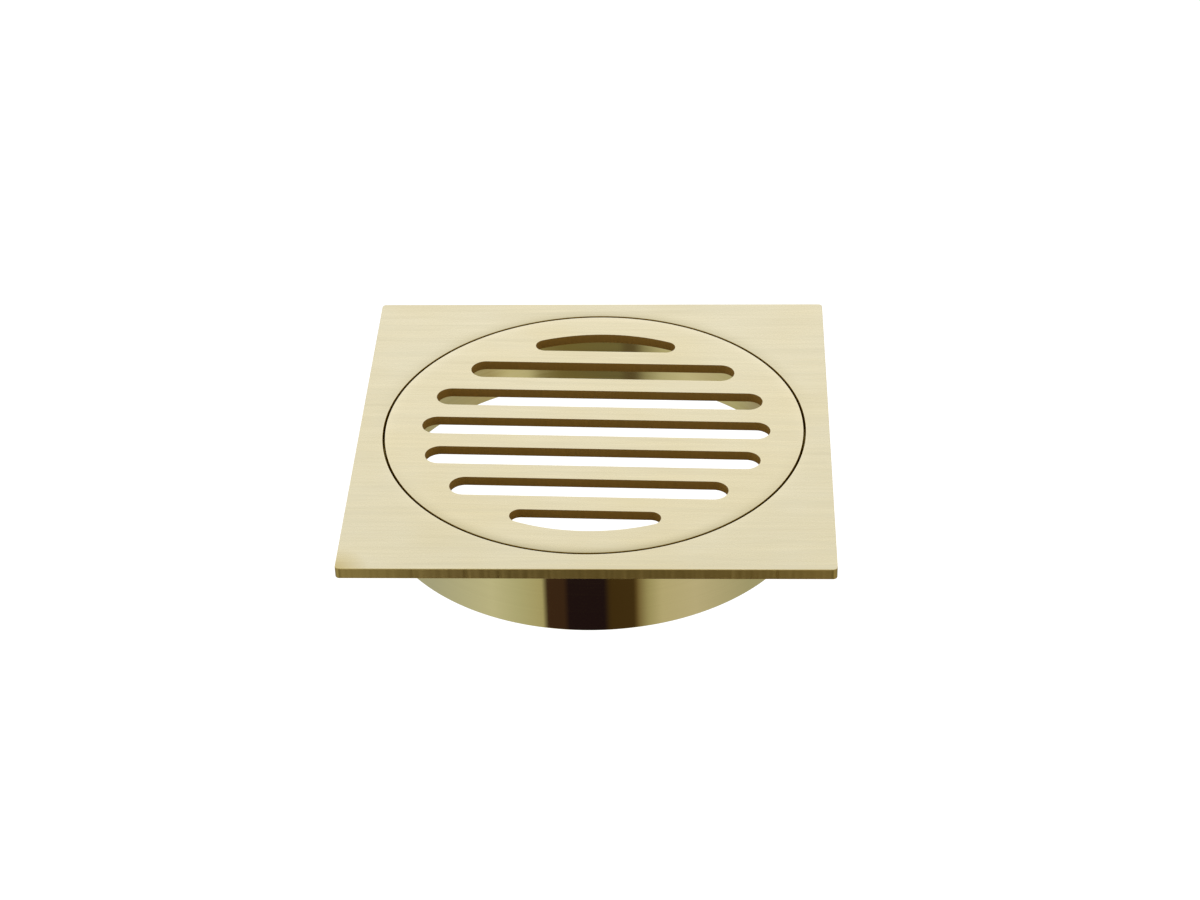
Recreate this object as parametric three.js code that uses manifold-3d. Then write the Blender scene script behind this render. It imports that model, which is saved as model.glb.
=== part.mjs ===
// Square floor drain grate for a 100 mm outlet.
//
// A thin square plate lies flush with the floor tiles. A seat ring is brazed inside the mouth of
// the outlet spigot, and the spigot is brazed into a groove in the plate's underside. A rubber
// cushion ring lies on the seat, and the slotted round grate drops onto it, loose, so that it
// lifts out for cleaning and can be turned in its seat.
//
// Units are millimetres, +Z is up, and +Y points away from the front edge. The origin is at the
// centre of the spigot's bottom rim.

import * as THREE from "three";
import { mergeVertices } from "three/addons/utils/BufferGeometryUtils.js";
import Module from "manifold-3d";

// Driving dimensions
const PLATE_SIDE = 110;
const TOTAL_HEIGHT = 19.8;
const PLATE_THICKNESS = 2.65;
const PLATE_CORNER_RADIUS = 1;
const OUTLET_BORE_RADIUS = 50;
const SPIGOT_WALL = 1.5;
const GRATE_RADIUS = 49;
const GRATE_THICKNESS = 2.3;
const GRATE_GAP = 0.45; // all round, between the grate and the plate's opening
const GRATE_TURN = THREE.MathUtils.degToRad(-1.87); // the loose grate rests a little out of square

// Slots in the grate
const SLOT_FIELD_RADIUS = 40.85; // every slot ends on this circle
const SLOT_FIELD_SHIFT = 0.4; // how far off the grate's centre the slots are cut, along their length
const SLOT_WIDTH = 6.9;
const SLOT_PITCH = 12.2;
const STRAIGHT_SLOTS_EACH_SIDE = 2; // besides the middle one
const END_SLOT_CORNER_RADIUS = 2.4;

// Seat and cushion
const SEAT_INNER_RADIUS = 45.5;
const SEAT_THICKNESS = 1.5;
const BRAZE_GAP = 0.3; // between pieces that are brazed together
const CUSHION_INNER_RADIUS = 45.9;
const CUSHION_OUTER_RADIUS = 48.8;
const CUSHION_THICKNESS = 0.8;
const GROOVE_DEPTH = 0.6; // the plate's groove that locates the spigot

// Edge breaks and facets
const PLATE_EDGE = 0.15;
const GRATE_EDGE = 0.15;
const SPIGOT_EDGE = 0.3;
const SEAT_EDGE = 0.2;
const CUSHION_EDGE = 0.15;
const CIRCLE_STEPS = 96; // a multiple of four, so that all circles have corners at the same angles
const SLOT_END_STEPS = 8; // in a half circle
const CORNER_STEPS = 4; // in a quarter circle

// Worked out from the above
const PLATE_TOP = TOTAL_HEIGHT;
const PLATE_UNDERSIDE = PLATE_TOP - PLATE_THICKNESS;
const OPENING_RADIUS = GRATE_RADIUS + GRATE_GAP;
const SPIGOT_OUTER_RADIUS = OUTLET_BORE_RADIUS + SPIGOT_WALL;
const SPIGOT_TOP = PLATE_UNDERSIDE + GROOVE_DEPTH - BRAZE_GAP;
const GRATE_UNDERSIDE = PLATE_TOP - GRATE_THICKNESS;
const SEAT_TOP = GRATE_UNDERSIDE - CUSHION_THICKNESS;

const brushedBrass = new THREE.MeshStandardMaterial({ color: 0xe0d2a8, roughness: 0.38, metalness: 1 });
const polishedBrass = new THREE.MeshStandardMaterial({ color: 0xcdbd84, roughness: 0.08, metalness: 1 });
const blackRubber = new THREE.MeshStandardMaterial({ color: 0x1c1c1b, roughness: 0.85, metalness: 0 });

const wasm = await Module();
wasm.setup();

// Points on an arc, both ends included.
function arc(centreX, centreY, radius, fromAngle, toAngle, steps) {
  const points = [];
  for (let i = 0; i <= steps; i++) {
    const angle = fromAngle + ((toAngle - fromAngle) * i) / steps;
    points.push(
      new THREE.Vector2(centreX + radius * Math.cos(angle), centreY + radius * Math.sin(angle)),
    );
  }
  return points;
}

function circle(radius) {
  return arc(0, 0, radius, 0, 2 * Math.PI, CIRCLE_STEPS).slice(0, -1);
}

function roundedSquare(side, cornerRadius) {
  const reach = side / 2 - cornerRadius;
  const corners = [
    [1, 1],
    [-1, 1],
    [-1, -1],
    [1, -1],
  ];
  return corners.flatMap(([x, y], quarter) => {
    const start = (quarter * Math.PI) / 2;
    return arc(x * reach, y * reach, cornerRadius, start, start + Math.PI / 2, CORNER_STEPS);
  });
}

// A slot with round ends, whose ends touch the slot field's circle from inside.
function straightSlot(centreY) {
  const endRadius = SLOT_WIDTH / 2;
  const endX = Math.sqrt((SLOT_FIELD_RADIUS - endRadius) ** 2 - centreY ** 2);
  const quarter = Math.PI / 2;
  return [
    ...arc(endX, centreY, endRadius, -quarter, quarter, SLOT_END_STEPS),
    ...arc(-endX, centreY, endRadius, quarter, 3 * quarter, SLOT_END_STEPS),
  ];
}

// The outermost slot: one straight side, one side along the slot field's circle, rounded corners.
function endSlot(side) {
  const straightY = (STRAIGHT_SLOTS_EACH_SIDE + 1) * SLOT_PITCH - SLOT_WIDTH / 2;
  const cornerY = straightY + END_SLOT_CORNER_RADIUS;
  const cornerX = Math.sqrt((SLOT_FIELD_RADIUS - END_SLOT_CORNER_RADIUS) ** 2 - cornerY ** 2);
  const tangent = Math.atan2(cornerY, cornerX);
  const quarter = Math.PI / 2;
  const outline = [
    ...arc(cornerX, cornerY, END_SLOT_CORNER_RADIUS, -quarter, tangent, SLOT_END_STEPS),
    ...arc(0, 0, SLOT_FIELD_RADIUS, tangent, Math.PI - tangent, 2 * SLOT_END_STEPS).slice(1, -1),
    ...arc(-cornerX, cornerY, END_SLOT_CORNER_RADIUS, Math.PI - tangent, 3 * quarter, SLOT_END_STEPS),
  ];
  return outline.map((point) => new THREE.Vector2(side * point.x, side * point.y));
}

// A flat piece between two heights, with broken edges all round its outline and its holes.
function flatPiece(outline, holes, bottom, top, edge) {
  const shape = new THREE.Shape(outline);
  shape.holes = holes.map((points) => new THREE.Path(points));
  const geometry = new THREE.ExtrudeGeometry(shape, {
    depth: top - bottom - 2 * edge,
    bevelEnabled: edge > 0,
    bevelThickness: edge,
    bevelSize: edge,
    bevelOffset: -edge,
    bevelSegments: 1,
  });
  return geometry.translate(0, 0, bottom + edge);
}

// A ring of rectangular section with broken edges, standing on +Z.
function ring(innerRadius, outerRadius, bottom, top, edge) {
  const profile = [
    [innerRadius + edge, bottom],
    [outerRadius - edge, bottom],
    [outerRadius, bottom + edge],
    [outerRadius, top - edge],
    [outerRadius - edge, top],
    [innerRadius + edge, top],
    [innerRadius, top - edge],
    [innerRadius, bottom + edge],
    [innerRadius + edge, bottom],
  ].map(([radius, height]) => new THREE.Vector2(radius, height));
  return new THREE.LatheGeometry(profile, CIRCLE_STEPS).rotateX(Math.PI / 2);
}

function solidOf(geometry) {
  const bare = geometry.index ? geometry.toNonIndexed() : geometry.clone();
  bare.deleteAttribute("normal");
  bare.deleteAttribute("uv");
  const merged = mergeVertices(bare, 1e-4);
  return new wasm.Manifold(
    new wasm.Mesh({
      numProp: 3,
      vertProperties: merged.attributes.position.array,
      triVerts: new Uint32Array(merged.index.array),
    }),
  );
}

function cut(geometry, tool) {
  const mesh = solidOf(geometry).subtract(solidOf(tool)).getMesh();
  const result = new THREE.BufferGeometry();
  result.setAttribute("position", new THREE.BufferAttribute(mesh.vertProperties, mesh.numProp));
  result.setIndex(new THREE.BufferAttribute(mesh.triVerts, 1));
  result.computeVertexNormals();
  return result;
}

function piece(name, geometry, material) {
  const mesh = new THREE.Mesh(geometry, material);
  mesh.name = name;
  return mesh;
}

// The square plate, with the round opening for the grate and the spigot's groove underneath.
function framePlate() {
  const plate = flatPiece(
    roundedSquare(PLATE_SIDE, PLATE_CORNER_RADIUS),
    [circle(OPENING_RADIUS)],
    PLATE_UNDERSIDE,
    PLATE_TOP,
    PLATE_EDGE,
  );
  // The groove takes the spigot's wall with the braze gap outside it, and runs in to the opening.
  const groove = flatPiece(
    circle(SPIGOT_OUTER_RADIUS + BRAZE_GAP),
    [circle(OPENING_RADIUS - PLATE_EDGE)],
    PLATE_UNDERSIDE - 1,
    PLATE_UNDERSIDE + GROOVE_DEPTH,
    0,
  );
  return piece("frame_plate", cut(plate, groove), brushedBrass);
}

function outletSpigot() {
  const tube = ring(OUTLET_BORE_RADIUS, SPIGOT_OUTER_RADIUS, 0, SPIGOT_TOP, SPIGOT_EDGE);
  return piece("outlet_spigot", tube, polishedBrass);
}

function seatRing() {
  const bottom = SEAT_TOP - SEAT_THICKNESS;
  const seat = ring(SEAT_INNER_RADIUS, OUTLET_BORE_RADIUS - BRAZE_GAP, bottom, SEAT_TOP, SEAT_EDGE);
  return piece("seat_ring", seat, polishedBrass);
}

function cushionRing() {
  const cushion = ring(
    CUSHION_INNER_RADIUS,
    CUSHION_OUTER_RADIUS,
    SEAT_TOP,
    GRATE_UNDERSIDE,
    CUSHION_EDGE,
  );
  return piece("cushion_ring", cushion, blackRubber);
}

function slottedGrate() {
  const slots = [endSlot(1), endSlot(-1)];
  for (let i = -STRAIGHT_SLOTS_EACH_SIDE; i <= STRAIGHT_SLOTS_EACH_SIDE; i++) {
    slots.push(straightSlot(i * SLOT_PITCH));
  }
  const shift = new THREE.Vector2(SLOT_FIELD_SHIFT, 0);
  const holes = slots.map((points) => points.map((point) => point.clone().add(shift)));
  const disc = flatPiece(circle(GRATE_RADIUS), holes, GRATE_UNDERSIDE, PLATE_TOP, GRATE_EDGE);
  const grate = piece("slotted_grate", disc, brushedBrass);
  grate.rotation.z = GRATE_TURN;
  return grate;
}

const floorDrainGrate = new THREE.Group();
floorDrainGrate.add(framePlate(), outletSpigot(), seatRing(), cushionRing(), slottedGrate());

export default floorDrainGrate;
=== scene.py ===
"""A square floor drain cover with a loose round slotted grate, in pale gold metal.

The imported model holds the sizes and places. Each of its nodes is rebuilt here with round edges,
smooth circles, a slight roll-off towards the round gap, and a brushed, polished or moulded finish.
Lengths are in metres, and each piece's mesh is in the model's own frame, with +Z up and the front
edge towards -Y.
"""

import math

import bmesh
import bpy
from mathutils import Euler, Matrix, Vector


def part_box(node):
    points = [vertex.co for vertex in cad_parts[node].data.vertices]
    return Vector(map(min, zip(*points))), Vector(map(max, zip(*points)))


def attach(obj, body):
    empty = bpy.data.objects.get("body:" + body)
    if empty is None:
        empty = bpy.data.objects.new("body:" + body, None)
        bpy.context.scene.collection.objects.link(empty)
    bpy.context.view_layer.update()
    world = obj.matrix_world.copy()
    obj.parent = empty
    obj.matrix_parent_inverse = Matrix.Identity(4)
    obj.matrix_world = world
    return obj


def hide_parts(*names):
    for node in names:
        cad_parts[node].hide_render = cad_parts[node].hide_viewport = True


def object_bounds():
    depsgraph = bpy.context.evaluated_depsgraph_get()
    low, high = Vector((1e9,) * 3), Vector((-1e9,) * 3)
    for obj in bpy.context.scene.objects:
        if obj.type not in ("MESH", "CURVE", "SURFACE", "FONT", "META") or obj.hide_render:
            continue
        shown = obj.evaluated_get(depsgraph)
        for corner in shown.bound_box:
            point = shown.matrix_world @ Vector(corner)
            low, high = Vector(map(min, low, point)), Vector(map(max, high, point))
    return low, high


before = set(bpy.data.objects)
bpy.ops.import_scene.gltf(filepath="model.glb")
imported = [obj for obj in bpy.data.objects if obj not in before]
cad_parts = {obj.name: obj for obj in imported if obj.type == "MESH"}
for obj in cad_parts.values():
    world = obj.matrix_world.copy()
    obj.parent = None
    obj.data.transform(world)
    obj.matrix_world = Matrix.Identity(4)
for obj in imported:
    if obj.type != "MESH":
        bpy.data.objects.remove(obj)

CAD_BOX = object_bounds()
TURN = 2 * math.pi  # a full turn

# ---------------------------------------------------------------------------------------------
# Sizes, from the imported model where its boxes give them

PLATE_LOW, PLATE_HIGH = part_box("frame_plate")
SPIGOT_LOW, SPIGOT_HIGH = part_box("outlet_spigot")
SEAT_LOW, SEAT_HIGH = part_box("seat_ring")
CUSHION_LOW, CUSHION_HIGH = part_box("cushion_ring")
GRATE_LOW, GRATE_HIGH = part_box("slotted_grate")

BRAZE_GAP = 0.0003  # between pieces that are brazed together
PLATE_SIDE = PLATE_HIGH.x - PLATE_LOW.x
SPIGOT_RADIUS = SPIGOT_HIGH.x
SEAT_RADIUS = SEAT_HIGH.x
SEAT_WIDTH = 0.0042
BORE_RADIUS = SEAT_RADIUS + BRAZE_GAP
CUSHION_RADIUS = CUSHION_HIGH.x
CUSHION_WIDTH = 0.0029
GRATE_TURN = math.radians(-1.87)  # the loose grate rests a little out of square
GRATE_RADIUS = GRATE_HIGH.x / math.cos(GRATE_TURN)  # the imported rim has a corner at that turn
GRATE_GAP = 0.00045  # all round, between the grate and the plate's opening
OPENING_RADIUS = GRATE_RADIUS + GRATE_GAP
GROOVE_RADIUS = SPIGOT_RADIUS + BRAZE_GAP  # the groove that the spigot stands in
GROOVE_TOP = SPIGOT_HIGH.z + BRAZE_GAP

# The grate's slots
SLOT_FIELD_RADIUS = 0.04085  # every slot ends on this circle
SLOT_FIELD_SHIFT = 0.0004  # how far off the grate's centre the slots are cut, along their length
SLOT_WIDTH = 0.0069
SLOT_PITCH = 0.0122
STRAIGHT_SLOTS_EACH_SIDE = 2  # besides the middle one
END_SLOT_CORNER = 0.0024

# Radii of the rounded corners and edges
PLATE_CORNER = 0.001
PLATE_EDGE = 0.00012
OPENING_EDGE = 0.00018
RIM_EDGE = 0.00016
SLOT_EDGE = 0.00005
SPIGOT_EDGE = 0.00025
SEAT_EDGE = 0.0002
CUSHION_EDGE = 0.00015

# The top faces roll off towards the round gap: over what width, how steeply at the edge, and by
# what share less at the front of the plate and at the back of the grate
PLATE_ROLL_WIDTH = 0.0045
PLATE_ROLL_TILT = math.radians(7)
PLATE_ROLL_LESS = 1.0
GRATE_ROLL_WIDTH = 0.0035
GRATE_ROLL_TILT = math.radians(9)
GRATE_ROLL_LESS = 0.4
ROLL_SINK = 0.35  # the surface sinks by this share of what its slope would give

SIDE_BOW = math.radians(8)  # how far the plate's side faces turn towards its corners
BRAZE_LEG = 0.0009
BRAZE_WAVES = ((7, 0.08, 0.0), (19, 0.05, 1.0), (41, 0.03, 0.0))  # count round it, size, phase

# Mesh density
CIRCLE_STEPS = 256
SLOT_END_STEPS = 20  # in a half circle
PLATE_SIDE_STEPS = 12
CORNER_STEPS = 8  # in a quarter circle
EDGE_STEPS = 4  # in a quarter circle
ROLL_STEPS = 8

# A flat piece's materials, by where they are on it
FACE, WALL, GAP_WALL, EDGE = range(4)
STEEP = math.radians(30)  # a rounding steeper than this takes its wall's material


# ---------------------------------------------------------------------------------------------
# Outlines: points with the unit direction from the outline into the material

def arc(centre, radius, start, end, steps, inwards):
    """Points on an arc, both ends included. inwards is -1 where the material is on the arc's
    hollow side, and 1 where it is outside the arc."""
    points = []
    for i in range(steps + 1):
        angle = start + (end - start) * i / steps
        outward = Vector((math.cos(angle), math.sin(angle)))
        points.append((Vector(centre) + radius * outward, inwards * outward))
    return points


def circle(radius, inwards):
    return arc((0, 0), radius, 0, TURN, CIRCLE_STEPS, inwards)[:-1]


def rounded_square(side, corner):
    """A square with round corners, whose sides are straight but face a little more towards the
    corners near them, as a hand-finished edge does."""
    reach = side / 2 - corner
    right_side = []
    for i in range(1, PLATE_SIDE_STEPS):
        along = 2 * i / PLATE_SIDE_STEPS - 1
        right_side.append((Vector((side / 2, along * reach)), along * SIDE_BOW))
    for i in range(CORNER_STEPS + 1):
        angle = TURN / 4 * i / CORNER_STEPS
        point = Vector((reach + corner * math.cos(angle), reach + corner * math.sin(angle)))
        facing = SIDE_BOW + (TURN / 4 - 2 * SIDE_BOW) * i / CORNER_STEPS
        right_side.append((point, facing))
    outline = []
    for quarter in range(4):
        turned = Matrix.Rotation(quarter * TURN / 4, 2)
        for point, facing in right_side:
            into = Vector((-math.cos(facing), -math.sin(facing)))
            outline.append((turned @ point, turned @ into))
    return outline


def straight_slot(centre_y):
    """A slot with round ends that touch the slot field's circle from inside."""
    end_radius = SLOT_WIDTH / 2
    end_x = math.sqrt((SLOT_FIELD_RADIUS - end_radius) ** 2 - centre_y ** 2)
    right = arc((end_x, centre_y), end_radius, -TURN / 4, TURN / 4, SLOT_END_STEPS, 1)
    left = arc((-end_x, centre_y), end_radius, TURN / 4, 3 * TURN / 4, SLOT_END_STEPS, 1)
    return right + left


def end_slot(side):
    """The outermost slot: one straight side, one along the slot field's circle, round corners."""
    straight_y = (STRAIGHT_SLOTS_EACH_SIDE + 1) * SLOT_PITCH - SLOT_WIDTH / 2
    corner_y = straight_y + END_SLOT_CORNER
    corner_x = math.sqrt((SLOT_FIELD_RADIUS - END_SLOT_CORNER) ** 2 - corner_y ** 2)
    tangent = math.atan2(corner_y, corner_x)
    other = TURN / 2 - tangent
    right = arc((corner_x, corner_y), END_SLOT_CORNER, -TURN / 4, tangent, SLOT_END_STEPS, 1)
    rim = arc((0, 0), SLOT_FIELD_RADIUS, tangent, other, SLOT_END_STEPS, 1)[1:-1]
    left = arc((-corner_x, corner_y), END_SLOT_CORNER, other, 3 * TURN / 4, SLOT_END_STEPS, 1)
    return [(side * point, side * into) for point, into in right + rim + left]


# ---------------------------------------------------------------------------------------------
# Sections: rows of (inset from the outline, height, tilt), from a piece's top face down its side
# to its bottom face. The tilt is the surface normal's angle from +Z. A ring's rows have its radius
# in place of the inset.

def quarter_round(reach, height, radius, quarter):
    """A quarter circle about a point, as rows. The first quarter, 0, turns from facing up to
    facing outwards."""
    rows = []
    for i in range(EDGE_STEPS + 1):
        tilt = TURN / 4 * (quarter + i / EDGE_STEPS)
        rows.append((reach + radius * math.sin(tilt), height + radius * math.cos(tilt), tilt))
    return rows


def rounded_side(top, bottom, edge, roll_width=0.0):
    """A wall with rounded edges, with rows on the top face where that rolls off."""
    rows = []
    if roll_width:
        for i in range(ROLL_STEPS, 0, -1):
            rows.append((edge + roll_width * i / ROLL_STEPS, top, 0.0))
    upper = quarter_round(-edge, top - edge, edge, 0)
    lower = quarter_round(-edge, bottom + edge, edge, 1)
    return rows + [(-reach, height, tilt) for reach, height, tilt in upper + lower]


def ring_section(inner, outer, bottom, top, edge):
    """A rectangle with rounded corners, whose rows close."""
    return (
        quarter_round(outer - edge, top - edge, edge, 0)
        + quarter_round(outer - edge, bottom + edge, edge, 1)
        + quarter_round(inner + edge, bottom + edge, edge, 2)
        + quarter_round(inner + edge, top - edge, edge, 3)
    )


def fillet_section(wall_radius, side, height, leg):
    """A concave fillet between a wall and a flat face above it, whose rows close. side is 1 for a
    wall that the fillet lies outside of and -1 for one it lies inside of."""
    centre_radius = wall_radius + side * leg
    centre_height = height - leg
    steps = 2 * EDGE_STEPS
    rows = [(wall_radius, height, 0.0)]
    for i in range(steps + 1):
        turn = TURN / 4 * i / steps
        radius = centre_radius - side * leg * math.sin(turn)
        z = centre_height + leg * math.cos(turn)
        tilt = math.atan2(centre_radius - radius, centre_height - z)
        rows.append((radius, z, tilt))
    return rows


def roll_off(edge_radius, side, width, steepest, less, less_at):
    """A bend for points near a round edge and their normals, ever steeper towards the edge. side
    is 1 where the material lies outside the edge and -1 inside it. Up to the quarter turns on
    either side of the angle less_at the bend weakens, by the share less."""
    def bend(place, normal):
        outward = place.xy.normalized()
        closeness = 1 - side * (place.xy.length - edge_radius) / width
        closeness = min(max(closeness, 0.0), 1.0)
        towards_less = max(outward.dot((math.cos(less_at), math.sin(less_at))), 0.0)
        slope = math.tan(steepest) * (1 - less * towards_less)
        # The slope grows with the closeness squared, so the surface sinks by that one's integral.
        sink = ROLL_SINK * width * slope * closeness ** 3 / 3
        axis = Vector((side * outward.y, -side * outward.x, 0))
        turned = Matrix.Rotation(math.atan(slope * closeness ** 2), 3, axis) @ normal
        return place - Vector((0, 0, sink)), turned
    return bend


# ---------------------------------------------------------------------------------------------
# Meshes

def lengths(points, closed):
    """How far each point lies along the line through them, and back to the first if it closes."""
    total = 0.0
    result = [total]
    for here, there in zip(points, points[1:] + points[:1] if closed else points[1:]):
        total += (there - here).length
        result.append(total)
    return result


class Builder:
    """Collects a mesh's points with their normals, and its faces with their grain coordinates:
    how far each corner lies along the metal's grain and across it, in metres."""

    def __init__(self):
        self.mesh = bmesh.new()
        self.grain = self.mesh.loops.layers.uv.new("grain")
        self.normals = []

    def point(self, place, normal):
        self.normals.append(Vector(normal).normalized())
        return self.mesh.verts.new(place)

    def face(self, points, grain, material=FACE):
        self.finish_face(self.mesh.faces.new(points), grain, material)

    def finish_face(self, face, grain, material=FACE):
        face.smooth = True
        face.material_index = material
        for loop, along_across in zip(face.loops, grain):
            loop[self.grain].uv = along_across

    def side(self, outline, rows, wall=WALL, edge=FACE, bend=None):
        """The side of a flat piece along one outline. wall is the material where it is steep,
        with the grain straight down, and edge the one on the rounding above. The upper half may
        be bent. Returns the side's first and last rings."""
        middle = (rows[0][1] + rows[-1][1]) / 2
        rings = []
        for inset, height, tilt in rows:
            ring = []
            for point, into in outline:
                place = Vector((*(point + inset * into), height))
                normal = Vector((*(-math.sin(tilt) * into), math.cos(tilt)))
                if bend and height > middle:
                    place, normal = bend(place, normal)
                ring.append(self.point(place, normal))
            rings.append(ring)
        around = lengths([point for point, _ in outline], closed=True)
        down = lengths([Vector((inset, height)) for inset, height, _ in rows], closed=False)
        for row in range(len(rows) - 1):
            pair = rings[row:row + 2]
            tilt = rows[row + 1][2]
            if tilt > STEEP:
                self.strip(pair, around, down[row:row + 2], wall, lengthwise=False)
            else:
                self.strip(pair, material=edge if tilt else FACE)
        return rings[0], rings[-1]

    def strip(self, pair, around=None, down=None, material=FACE, lengthwise=True):
        """Quads between two rings, each closed on itself. Their grain runs along the rings, or
        down them where it isn't lengthwise, or straight along X where they have no lengths."""
        upper, lower = pair
        for i in range(len(upper)):
            j = (i + 1) % len(upper)
            corners = (upper[i], lower[i], lower[j], upper[j])
            if around is None:
                grain = [corner.co.xy for corner in corners]
            else:
                ends = (around[i], around[i], around[i + 1], around[i + 1])
                heights = (down[0], down[1], down[1], down[0])
                grain = zip(ends, heights) if lengthwise else zip(heights, ends)
            self.face(corners, grain, material)

    def cap(self, rings):
        """A flat face inside the first ring, with the other rings as its holes."""
        edges = []
        for ring in rings:
            for i, point in enumerate(ring):
                pair = (point, ring[(i + 1) % len(ring)])
                edges.append(self.mesh.edges.get(pair) or self.mesh.edges.new(pair))
        filled = bmesh.ops.triangle_fill(self.mesh, use_beauty=True, edges=edges)
        for face in filled["geom"]:
            if isinstance(face, bmesh.types.BMFace):
                self.finish_face(face, [loop.vert.co.xy for loop in face.loops])

    def turned(self, section, material_of=lambda row: FACE, swell=lambda angle: 0.0):
        """A ring with that closed section, about the Z axis. swell gives the share by which the
        section grows away from its first point, at each angle round the axis."""
        rings = []
        for radius, height, tilt in section:
            ring = []
            for step in range(CIRCLE_STEPS):
                angle = TURN * step / CIRCLE_STEPS
                x, y = math.cos(angle), math.sin(angle)
                reach = radius + (radius - section[0][0]) * swell(angle)
                z = height + (height - section[0][1]) * swell(angle)
                normal = (x * math.sin(tilt), y * math.sin(tilt), math.cos(tilt))
                ring.append(self.point((x * reach, y * reach, z), normal))
            rings.append(ring)
        mean_radius = sum(radius for radius, _, _ in section) / len(section)
        around = [TURN * mean_radius * step / CIRCLE_STEPS for step in range(CIRCLE_STEPS + 1)]
        down = lengths([Vector((radius, height)) for radius, height, _ in section], closed=True)
        for row in range(len(section)):
            pair = [rings[row], rings[(row + 1) % len(section)]]
            self.strip(pair, around, down[row:row + 2], material_of(row))

    def object(self, name, *materials):
        """The finished piece, with every face pointing outwards."""
        bmesh.ops.recalc_face_normals(self.mesh, faces=self.mesh.faces)
        data = bpy.data.meshes.new(name)
        self.mesh.to_mesh(data)
        self.mesh.free()
        data.normals_split_custom_set_from_vertices([tuple(normal) for normal in self.normals])
        for material in materials:
            data.materials.append(material)
        piece = bpy.data.objects.new(name, data)
        bpy.context.scene.collection.objects.link(piece)
        return piece


# ---------------------------------------------------------------------------------------------
# Materials

NOISE_SPAN = (0.3, 0.7)  # nearly all of a noise texture's values lie between these
MIX_INPUTS = (0, 6, 7)  # where a Mix node has its factor and its two colours
MIX_OUTPUT = 2

# Streaks: length along the grain and width across it
FINE_STREAKS = (0.02, 0.0005)
MIDDLE_STREAKS = (0.035, 0.0012)
BROAD_STREAKS = (0.05, 0.004)
TURNING_LINES = (0.08, 0.0006)

FINE_SHARE = 0.35  # of the tone; the middle streaks make up the rest
MIDDLE_ROUGHENS = 0.05  # how far the streaks raise and lower the roughness
BROAD_ROUGHENS = 0.02
SCRATCH_DEPTH = 0.000001
MIDDLE_DEPTH = 0.5  # of the middle streaks, as a share of the fine ones' depth
ACROSS_GRAIN = 0.25  # a quarter turn, so that highlights stretch across the grain
WARM_PATCH_SIZE = 0.022
WARM_PATCH_SPAN = (0.38, 0.68)  # the noise values where a patch begins and where it is full
WARM_TINT = (0.99, 0.975, 0.93, 1)

TURNING_ROUGHENS = 0.02
TURNING_DEPTH = 0.0000004
TURNING_FADES = 0.97  # the turning lines' colour, as a share of the metal's

RUBBER_GRAIN_SIZE = 0.00025
RUBBER_GRAIN_DEPTH = 0.00003
RUBBER_DUST_SIZE = 0.012
RUBBER_DUST_SPAN = (0.4, 0.7)
RUBBER_CLEAN = (0.018, 0.018, 0.017, 1)
RUBBER_DUSTY = (0.035, 0.034, 0.032, 1)


class Graph:
    """A node tree, with nodes added and wired in one call each."""

    def __init__(self, tree):
        tree.nodes.clear()
        self.tree = tree

    def connect(self, socket, value):
        """Sets a socket to a value, or wires another node's output to it."""
        if isinstance(value, bpy.types.NodeSocket):
            self.tree.links.new(value, socket)
        else:
            socket.default_value = value

    def add(self, kind, settings=None, **inputs):
        """A node's first output. Inputs are named as the sockets are, with _ for a space, or by
        i0, i1 for their places, and take a value or another node's output."""
        node = self.tree.nodes.new(kind)
        for name, value in (settings or {}).items():
            setattr(node, name, value)
        for name, value in inputs.items():
            by_place = name[0] == "i" and name[1:].isdigit()
            key = int(name[1:]) if by_place else name.replace("_", " ")
            self.connect(node.inputs[key], value)
        return next((output for output in node.outputs if output.enabled), None)

    def output(self, kind, name):
        """The output of that name of a node without inputs."""
        return self.add(kind).node.outputs[name]

    def math(self, operation, *values):
        inputs = {f"i{place}": value for place, value in enumerate(values)}
        return self.add("ShaderNodeMath", {"operation": operation}, **inputs)

    def vector_math(self, operation, *values):
        inputs = {f"i{place}": value for place, value in enumerate(values)}
        return self.add("ShaderNodeVectorMath", {"operation": operation}, **inputs)

    def rescale(self, value, low, high, to_low, to_high):
        return self.add(
            "ShaderNodeMapRange",
            Value=value, From_Min=low, From_Max=high, To_Min=to_low, To_Max=to_high,
        )

    def spread(self, noise, to_low, to_high):
        """A noise texture's values, stretched between those two."""
        return self.rescale(noise, *NOISE_SPAN, to_low, to_high)

    def mix(self, share, first, second, mode="MIX"):
        """A mix of two colours."""
        node = self.tree.nodes.new("ShaderNodeMix")
        node.data_type = "RGBA"
        node.blend_type = mode
        for place, value in zip(MIX_INPUTS, (share, first, second)):
            self.connect(node.inputs[place], value)
        return node.outputs[MIX_OUTPUT]

    def ramp(self, factor, stops):
        """A colour ramp with (place, colour) stops."""
        node = self.tree.nodes.new("ShaderNodeValToRGB")
        self.connect(node.inputs["Fac"], factor)
        elements = node.color_ramp.elements
        while len(elements) > 1:
            elements.remove(elements[-1])
        first_place, first_colour = stops[0]
        elements[0].position = first_place
        elements[0].color = (*first_colour, 1)
        for place, colour in stops[1:]:
            elements.new(place).color = (*colour, 1)
        return node.outputs["Color"]


def new_material(name):
    material = bpy.data.materials.new(name)
    material.use_nodes = True
    return material, Graph(material.node_tree)


def streaks(graph, grain, size, detail):
    """Noise drawn out along the grain, with streaks of about that length and width."""
    length, width = size
    stretched = graph.add("ShaderNodeMapping", Vector=grain, Scale=(1 / length, 1 / width, 1))
    return graph.add(
        "ShaderNodeTexNoise", Vector=stretched, Scale=1.0, Detail=detail, Roughness=0.6,
    )


def clouds(graph, place, size, detail=2.0):
    return graph.add(
        "ShaderNodeTexNoise", Vector=place, Scale=1 / size, Detail=detail, Roughness=0.5,
    )


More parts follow.
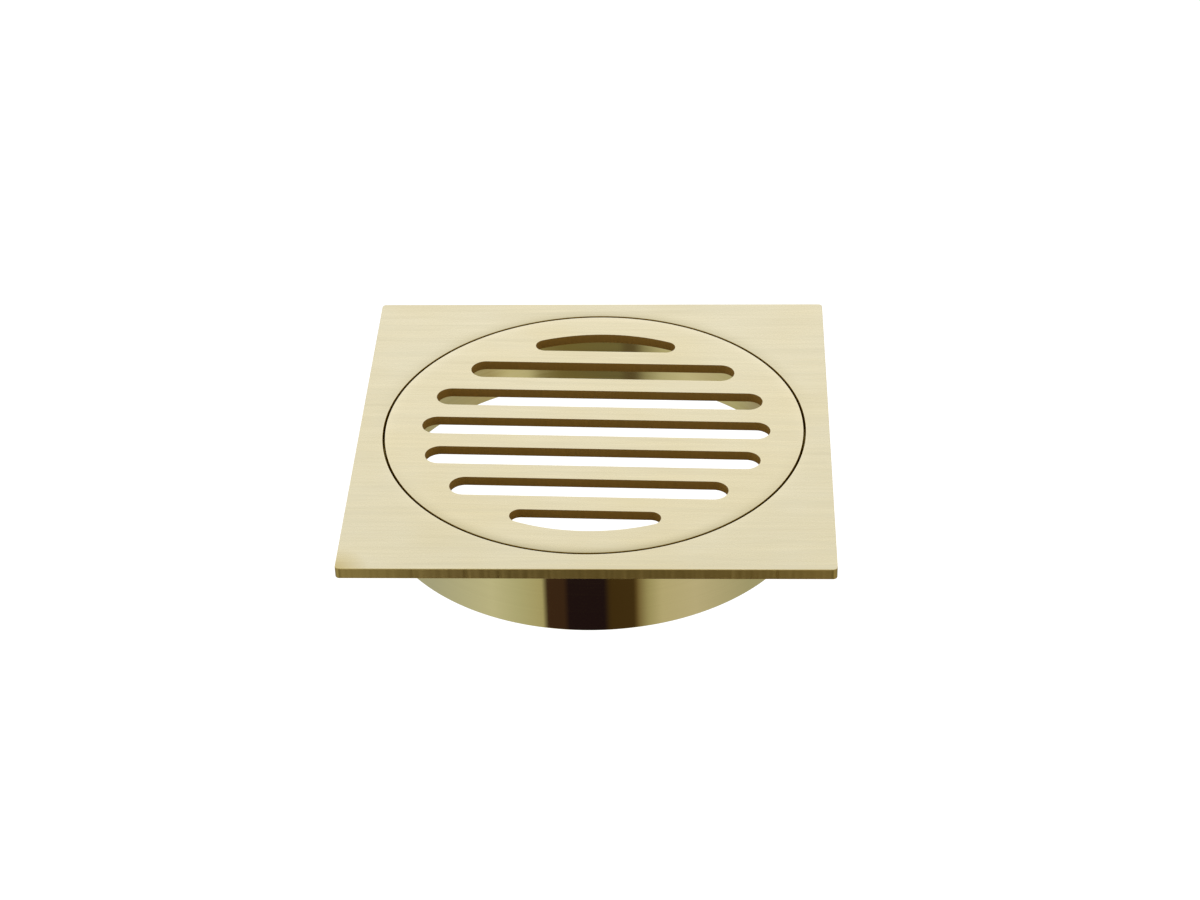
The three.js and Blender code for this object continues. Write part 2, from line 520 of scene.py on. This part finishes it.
def with_painted_shade(graph, colour, place, centre, unshaded, full, strength, tint):
    """That colour with painted shade: a darker tint, none at the first distance given from the
    upright line through centre, and the whole strength at the distance full."""
    flat = graph.vector_math("MULTIPLY", place, (1, 1, 0))
    reach = graph.vector_math("LENGTH", graph.vector_math("SUBTRACT", flat, centre))
    share = graph.rescale(reach, unshaded, full, 0.0, strength)
    return graph.mix(share, colour, (*tint, 1), "MULTIPLY")


def brushed_metal(name, light, deep, rough, anisotropy=0.0, painted_shade=None):
    """Gold-coloured metal brushed along its grain, with fine scratches over longer soft streaks.
    Its last argument, if given, says where shade is painted into the colour, as the function above
    takes it."""
    material, graph = new_material(name)
    grain = graph.add("ShaderNodeUVMap", {"uv_map": "grain"})
    place = graph.output("ShaderNodeTexCoord", "Object")
    fine = streaks(graph, grain, FINE_STREAKS, detail=1.0)
    middle = streaks(graph, grain, MIDDLE_STREAKS, detail=1.0)
    broad = streaks(graph, grain, BROAD_STREAKS, detail=2.0)
    tone = graph.math(
        "ADD",
        graph.math("MULTIPLY", fine, FINE_SHARE),
        graph.math("MULTIPLY", middle, 1 - FINE_SHARE),
    )
    colour = graph.mix(graph.spread(tone, 0.0, 1.0), (*deep, 1), (*light, 1))
    warmth = graph.rescale(clouds(graph, place, WARM_PATCH_SIZE), *WARM_PATCH_SPAN, 0.0, 1.0)
    colour = graph.mix(warmth, colour, WARM_TINT, "MULTIPLY")
    # Painted shade: the colour darkens where the last argument says.
    if painted_shade:
        colour = with_painted_shade(graph, colour, place, **painted_shade)
    roughness = graph.math(
        "ADD",
        graph.spread(middle, rough - MIDDLE_ROUGHENS, rough + MIDDLE_ROUGHENS),
        graph.spread(broad, -BROAD_ROUGHENS, BROAD_ROUGHENS),
    )
    height = graph.math("ADD", fine, graph.math("MULTIPLY", middle, MIDDLE_DEPTH))
    bump = graph.add("ShaderNodeBump", Strength=1.0, Distance=SCRATCH_DEPTH, Height=height)
    tangent = graph.add("ShaderNodeTangent", {"direction_type": "UV_MAP", "uv_map": "grain"})
    surface = graph.add(
        "ShaderNodeBsdfPrincipled",
        Base_Color=colour, Metallic=1.0, Roughness=roughness,
        Anisotropic=anisotropy, Anisotropic_Rotation=ACROSS_GRAIN,
        Normal=bump, Tangent=tangent,
    )
    graph.add("ShaderNodeOutputMaterial", Surface=surface)
    return material


def polished_metal(name, colour, rough):
    """Near mirror, with the faintest turning lines round it."""
    material, graph = new_material(name)
    grain = graph.add("ShaderNodeUVMap", {"uv_map": "grain"})
    lines = streaks(graph, grain, TURNING_LINES, detail=3.0)
    roughness = graph.spread(lines, rough - TURNING_ROUGHENS, rough + TURNING_ROUGHENS)
    bump = graph.add("ShaderNodeBump", Strength=1.0, Distance=TURNING_DEPTH, Height=lines)
    faded = [TURNING_FADES * channel for channel in colour]
    surface = graph.add(
        "ShaderNodeBsdfPrincipled",
        Base_Color=graph.mix(graph.spread(lines, 0.0, 1.0), (*colour, 1), (*faded, 1)),
        Metallic=1.0, Roughness=roughness, Normal=bump,
    )
    graph.add("ShaderNodeOutputMaterial", Surface=surface)
    return material


def black_rubber():
    """Matt moulded rubber, grainy and a little dusty."""
    material, graph = new_material("black_rubber")
    place = graph.output("ShaderNodeTexCoord", "Object")
    grainy = clouds(graph, place, RUBBER_GRAIN_SIZE, detail=3.0)
    dust = graph.rescale(clouds(graph, place, RUBBER_DUST_SIZE), *RUBBER_DUST_SPAN, 0.0, 1.0)
    bump = graph.add("ShaderNodeBump", Strength=0.6, Distance=RUBBER_GRAIN_DEPTH, Height=grainy)
    surface = graph.add(
        "ShaderNodeBsdfPrincipled",
        Base_Color=graph.mix(dust, RUBBER_CLEAN, RUBBER_DUSTY),
        Roughness=graph.spread(grainy, 0.7, 0.9), Normal=bump,
    )
    graph.add("ShaderNodeOutputMaterial", Surface=surface)
    return material


FRONT_LEFT_CORNER = (-PLATE_SIDE / 2, -PLATE_SIDE / 2, 0)
CORNERS_BEGIN = math.hypot(PLATE_SIDE / 2 - PLATE_CORNER, PLATE_SIDE / 2)  # from the plate's centre

PLATE_TOP = brushed_metal(
    "plate_brushed", light=(0.905, 0.83, 0.59), deep=(0.815, 0.74, 0.505), rough=0.27,
    anisotropy=0.6,
    # Painted shade: the top and its outer rounding darken and warm towards the front-left corner.
    painted_shade={
        "centre": FRONT_LEFT_CORNER, "unshaded": 0.0075, "full": 0.0,
        "strength": 0.7, "tint": (0.72, 0.61, 0.26),
    },
)
PLATE_SIDE_FACE = brushed_metal(
    "plate_side", light=(0.83, 0.655, 0.265), deep=(0.79, 0.625, 0.25), rough=0.32,
    # Painted shade: the side faces darken and grey round the plate's corners, dimming what they
    # mirror there.
    painted_shade={
        "centre": (0, 0, 0), "unshaded": CORNERS_BEGIN - 0.0004, "full": CORNERS_BEGIN,
        "strength": 0.9, "tint": (0.62, 0.60, 0.50),
    },
)
GRATE_TOP = brushed_metal(
    "grate_brushed", light=(0.925, 0.84, 0.585), deep=(0.835, 0.75, 0.50), rough=0.27,
    anisotropy=0.6,
)
# Painted shade: the slot walls are coloured a dark brown that stands for the shade inside the
# slots.
SLOT_WALL_SHADE = brushed_metal("slot_walls_painted_shade", light=(0.38, 0.23, 0.053), deep=(0.32, 0.19, 0.041), rough=0.8)
# Painted shade: the walls of the narrow gap round the grate are darker still, for the shade in the
# gap.
GAP_WALL_SHADE = brushed_metal("gap_walls_painted_shade", light=(0.35, 0.21, 0.01), deep=(0.30, 0.18, 0.008), rough=0.6)
BURNISHED = brushed_metal(
    "burnished_edge", light=(0.97, 0.90, 0.66), deep=(0.94, 0.87, 0.62), rough=0.15,
)
SEAT = brushed_metal("seat_brass", light=(0.66, 0.50, 0.12), deep=(0.56, 0.42, 0.10), rough=0.5)
SATIN = brushed_metal(
    "satin_inside", light=(0.92, 0.84, 0.50), deep=(0.88, 0.80, 0.45), rough=0.12, anisotropy=0.6,
)
POLISHED = polished_metal("polished_brass", (0.86, 0.78, 0.42), rough=0.045)
RUBBER = black_rubber()


# ---------------------------------------------------------------------------------------------
# Pieces

def place_piece(piece, body, slot, *nodes):
    """Lets a piece ride on its body, and hides the imported nodes it stands for. slot is not used.
    """
    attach(piece, body)
    if nodes:
        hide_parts(*nodes)


def frame_plate():
    """The plate: flat, with a round opening and, underneath, the groove for the spigot."""
    builder = Builder()
    outline = rounded_square(PLATE_SIDE, PLATE_CORNER)
    outer_side = rounded_side(PLATE_HIGH.z, PLATE_LOW.z, PLATE_EDGE)
    outer_top, outer_bottom = builder.side(outline, outer_side)
    opening = circle(OPENING_RADIUS, 1)
    opening_side = rounded_side(PLATE_HIGH.z, GROOVE_TOP, OPENING_EDGE, PLATE_ROLL_WIDTH)
    roll = roll_off(
        OPENING_RADIUS, 1, PLATE_ROLL_WIDTH, PLATE_ROLL_TILT, PLATE_ROLL_LESS, less_at=-TURN / 4,
    )
    opening_top, groove_inner = builder.side(opening, opening_side, GAP_WALL, EDGE, roll)
    groove_inset = GROOVE_RADIUS - OPENING_RADIUS
    groove_side = [(groove_inset, GROOVE_TOP, TURN / 4), (groove_inset, PLATE_LOW.z, TURN / 4)]
    groove_outer, bottom_hole = builder.side(opening, groove_side, GAP_WALL)
    builder.strip([groove_inner, groove_outer])
    builder.cap([outer_top, opening_top])
    builder.cap([outer_bottom, bottom_hole])
    plate = builder.object("plate", PLATE_TOP, PLATE_SIDE_FACE, GAP_WALL_SHADE, BURNISHED)
    place_piece(plate, "frame", "brushed_brass", "frame_plate")


def slotted_grate():
    """The loose grate, with its slots, turned to where it rests."""
    builder = Builder()
    slots = [end_slot(1), end_slot(-1)]
    for i in range(-STRAIGHT_SLOTS_EACH_SIDE, STRAIGHT_SLOTS_EACH_SIDE + 1):
        slots.append(straight_slot(i * SLOT_PITCH))
    shift = Vector((SLOT_FIELD_SHIFT, 0))
    slots = [[(point + shift, into) for point, into in slot] for slot in slots]
    rim = rounded_side(GRATE_HIGH.z, GRATE_LOW.z, RIM_EDGE, GRATE_ROLL_WIDTH)
    roll = roll_off(
        GRATE_RADIUS, -1, GRATE_ROLL_WIDTH, GRATE_ROLL_TILT, GRATE_ROLL_LESS, less_at=TURN / 4,
    )
    slot_side = rounded_side(GRATE_HIGH.z, GRATE_LOW.z, SLOT_EDGE)
    sides = [builder.side(circle(GRATE_RADIUS, -1), rim, GAP_WALL, EDGE, roll)]
    sides += [builder.side(slot, slot_side, WALL, EDGE) for slot in slots]
    builder.cap([top for top, _ in sides])
    builder.cap([bottom for _, bottom in sides])
    grate = builder.object("grate", GRATE_TOP, SLOT_WALL_SHADE, GAP_WALL_SHADE, BURNISHED)
    grate.data.transform(Matrix.Rotation(GRATE_TURN, 4, "Z"))
    place_piece(grate, "grate", "brushed_brass", "slotted_grate")


def outlet_spigot():
    """The tube: polished outside, and satin inside, where nobody finishes it."""
    builder = Builder()
    section = ring_section(BORE_RADIUS, SPIGOT_RADIUS, SPIGOT_LOW.z, SPIGOT_HIGH.z, SPIGOT_EDGE)
    first_inside_row = 2 * (EDGE_STEPS + 1) + EDGE_STEPS // 2  # halfway round the inner bottom edge
    builder.turned(section, lambda row: int(row >= first_inside_row))
    spigot = builder.object("spigot", POLISHED, SATIN)
    place_piece(spigot, "frame", "polished_brass", "outlet_spigot")


def seat_ring():
    builder = Builder()
    inner = SEAT_RADIUS - SEAT_WIDTH
    builder.turned(ring_section(inner, SEAT_RADIUS, SEAT_LOW.z, SEAT_HIGH.z, SEAT_EDGE))
    place_piece(builder.object("seat", SEAT), "frame", "polished_brass", "seat_ring")


def cushion_ring():
    builder = Builder()
    inner = CUSHION_RADIUS - CUSHION_WIDTH
    builder.turned(ring_section(inner, CUSHION_RADIUS, CUSHION_LOW.z, CUSHION_HIGH.z, CUSHION_EDGE))
    place_piece(builder.object("cushion", RUBBER), "cushion", "black_rubber", "cushion_ring")


def braze_fillet(name, wall_radius, side, height):
    """A thin seam of braze in the corner between the spigot and the face above it, a little uneven
    round its length."""
    def swell(angle):
        return sum(size * math.sin(count * angle + phase) for count, size, phase in BRAZE_WAVES)

    builder = Builder()
    builder.turned(fillet_section(wall_radius, side, height, BRAZE_LEG), swell=swell)
    place_piece(builder.object(name, SATIN), "frame", "polished_brass")


# ---------------------------------------------------------------------------------------------
# Studio

CAMERA_LENS = 84.03  # mm
SENSOR_WIDTH = 36.0  # mm
CAMERA_DISTANCE = 0.64839
CAMERA_YAW = math.radians(2.813)  # to the right of the front edge's middle
CAMERA_PITCH = math.radians(34.555)  # downwards
CAMERA_ROLL = math.radians(-1.571)
CAMERA_AIM = Vector((0.00172, -0.00919, PLATE_HIGH.z))

FLOOR_SIZE = 40.0
FLOOR_GAP = 0.0002  # between the floor and the spigot's rim
WHITE = (1.15, 1.15, 1.15, 1)  # of the floor and the background

# These colours aren't design values. FAR_FLOOR_LIGHT's were mostly read off the spigot's inside in
# the photograph by a program, divided by an assumed metal colour and rounded. The other two began
# as guesses and were corrected from a program's comparison of the photograph's tones with the
# render's.

# The light from above, by elevation in degrees
OVERHEAD_LIGHT = (
    (0, (0.96, 0.96, 1.00)),
    (17, (1.00, 1.00, 1.05)),
    (27, (1.09, 1.10, 1.17)),
    (34, (1.03, 1.03, 1.05)),
    (42, (0.87, 0.87, 0.85)),
    (55, (0.49, 0.48, 0.42)),
    (90, (0.39, 0.38, 0.31)),
)
# The light from below the horizon, by azimuth in degrees, 0 from the front and positive from the
# right. The grate's walls and the spigot's inside mirror it.
FAR_FLOOR_LIGHT = (
    (-180, (0.40, 0.38, 0.32)),
    (-99, (0.31, 0.27, 0.22)),
    (-83, (0.42, 0.41, 0.29)),
    (-65, (0.49, 0.45, 0.37)),
    (-50, (0.56, 0.53, 0.44)),
    (-36, (0.46, 0.44, 0.34)),
    (-26.5, (0.26, 0.24, 0.16)),
    (-20.5, (0.11, 0.085, 0.045)),
    (-16, (0.11, 0.085, 0.045)),
    (-12, (0.16, 0.14, 0.07)),
    (18, (0.17, 0.14, 0.06)),
    (27, (0.19, 0.16, 0.08)),
    (32, (0.23, 0.20, 0.11)),
    (39, (0.50, 0.48, 0.36)),
    (50, (0.54, 0.51, 0.39)),
    (62, (0.36, 0.31, 0.20)),
    (90, (0.34, 0.32, 0.25)),
    (180, (0.40, 0.38, 0.32)),
)
# The light from further down, which the spigot's outside mirrors: pale panels at the left and the
# right, and a dark gap between them in front
NEAR_FLOOR_LIGHT = (
    (-180, (0.42, 0.40, 0.34)),
    (-95, (0.44, 0.45, 0.45)),
    (-55, (0.57, 0.57, 0.52)),
    (-40, (0.48, 0.48, 0.39)),
    (-26.5, (0.43, 0.40, 0.28)),
    (-24.5, (0.046, 0.023, 0.016)),
    (-15, (0.046, 0.023, 0.016)),
    (-13, (0.014, 0.007, 0.011)),
    (6, (0.014, 0.007, 0.011)),
    (9, (0.054, 0.031, 0.011)),
    (22, (0.058, 0.034, 0.013)),
    (23, (0.16, 0.11, 0.05)),
    (29, (0.38, 0.35, 0.24)),
    (36, (0.52, 0.48, 0.39)),
    (55, (0.55, 0.51, 0.46)),
    (90, (0.41, 0.40, 0.34)),
    (180, (0.42, 0.40, 0.34)),
)
# The heights on the unit sphere between which one light goes over into the next
OVERHEAD_TO_FLOOR = (0.02, -0.06)
FAR_TO_NEAR_FLOOR = (-0.565, -0.60)


def camera():
    data = bpy.data.cameras.new("camera")
    data.sensor_width = SENSOR_WIDTH
    data.lens = CAMERA_LENS
    data.clip_start = 0.01
    data.clip_end = 100.0
    eye = bpy.data.objects.new("camera", data)
    level = Euler((TURN / 4 - CAMERA_PITCH, 0, CAMERA_YAW)).to_matrix()
    turned = level @ Matrix.Rotation(CAMERA_ROLL, 3, "Z")
    place = CAMERA_AIM + turned.col[2] * CAMERA_DISTANCE
    eye.matrix_world = Matrix.LocRotScale(place, turned, None)
    bpy.context.scene.collection.objects.link(eye)
    bpy.context.scene.camera = eye


def floor():
    """A pale lit floor, seen by the camera but not mirrored in the metal, and clear from below."""
    builder = Builder()
    half = FLOOR_SIZE / 2
    height = CAD_BOX[0].z - FLOOR_GAP
    corners = ((-half, -half), (half, -half), (half, half), (-half, half))
    points = [builder.point((x, y, height), (0, 0, 1)) for x, y in corners]
    builder.face(points, corners)
    material, graph = new_material("floor")
    glow = graph.add("ShaderNodeEmission", Color=WHITE, Strength=1.0)
    clear = graph.add("ShaderNodeBsdfTransparent")
    below = graph.output("ShaderNodeNewGeometry", "Backfacing")
    surface = graph.add("ShaderNodeMixShader", i0=below, i1=glow, i2=clear)
    graph.add("ShaderNodeOutputMaterial", Surface=surface)
    ground = builder.object("floor", material)
    ground.visible_glossy = False


def studio_light():
    """Soft light from all round, brightest a little above the horizon and dimmer overhead, with
    darker lights from below for the metal to mirror. The camera itself sees plain white."""
    world = bpy.data.worlds.new("studio")
    world.use_nodes = True
    bpy.context.scene.world = world
    graph = Graph(world.node_tree)
    direction = graph.output("ShaderNodeTexCoord", "Generated")
    parts = graph.add("ShaderNodeSeparateXYZ", Vector=direction).node.outputs
    x, y, z = parts["X"], parts["Y"], parts["Z"]
    azimuth = graph.math("ARCTAN2", x, graph.math("MULTIPLY", y, -1.0))
    around = graph.math("MULTIPLY_ADD", azimuth, 1 / TURN, 0.5)
    up = graph.math("MULTIPLY", graph.math("ARCSINE", z), 4 / TURN)
    overhead = graph.ramp(up, [(degrees / 90, colour) for degrees, colour in OVERHEAD_LIGHT])
    far, near = [
        graph.ramp(around, [(degrees / 360 + 0.5, colour) for degrees, colour in light])
        for light in (FAR_FLOOR_LIGHT, NEAR_FLOOR_LIGHT)
    ]
    floor_light = graph.mix(graph.rescale(z, *FAR_TO_NEAR_FLOOR, 0.0, 1.0), far, near)
    light = graph.mix(graph.rescale(z, *OVERHEAD_TO_FLOOR, 0.0, 1.0), overhead, floor_light)
    seen = graph.output("ShaderNodeLightPath", "Is Camera Ray")
    background = graph.add(
        "ShaderNodeBackground", Color=graph.mix(seen, light, WHITE), Strength=1.0,
    )
    graph.add("ShaderNodeOutputWorld", Surface=background)


bpy.context.scene.view_settings.view_transform = "Standard"
camera()
floor()
studio_light()
frame_plate()
slotted_grate()
outlet_spigot()
seat_ring()
cushion_ring()
braze_fillet("plate_braze", SPIGOT_RADIUS, 1, PLATE_LOW.z)
braze_fillet("seat_braze", BORE_RADIUS, -1, SEAT_LOW.z)

bpy.context.view_layer.update()
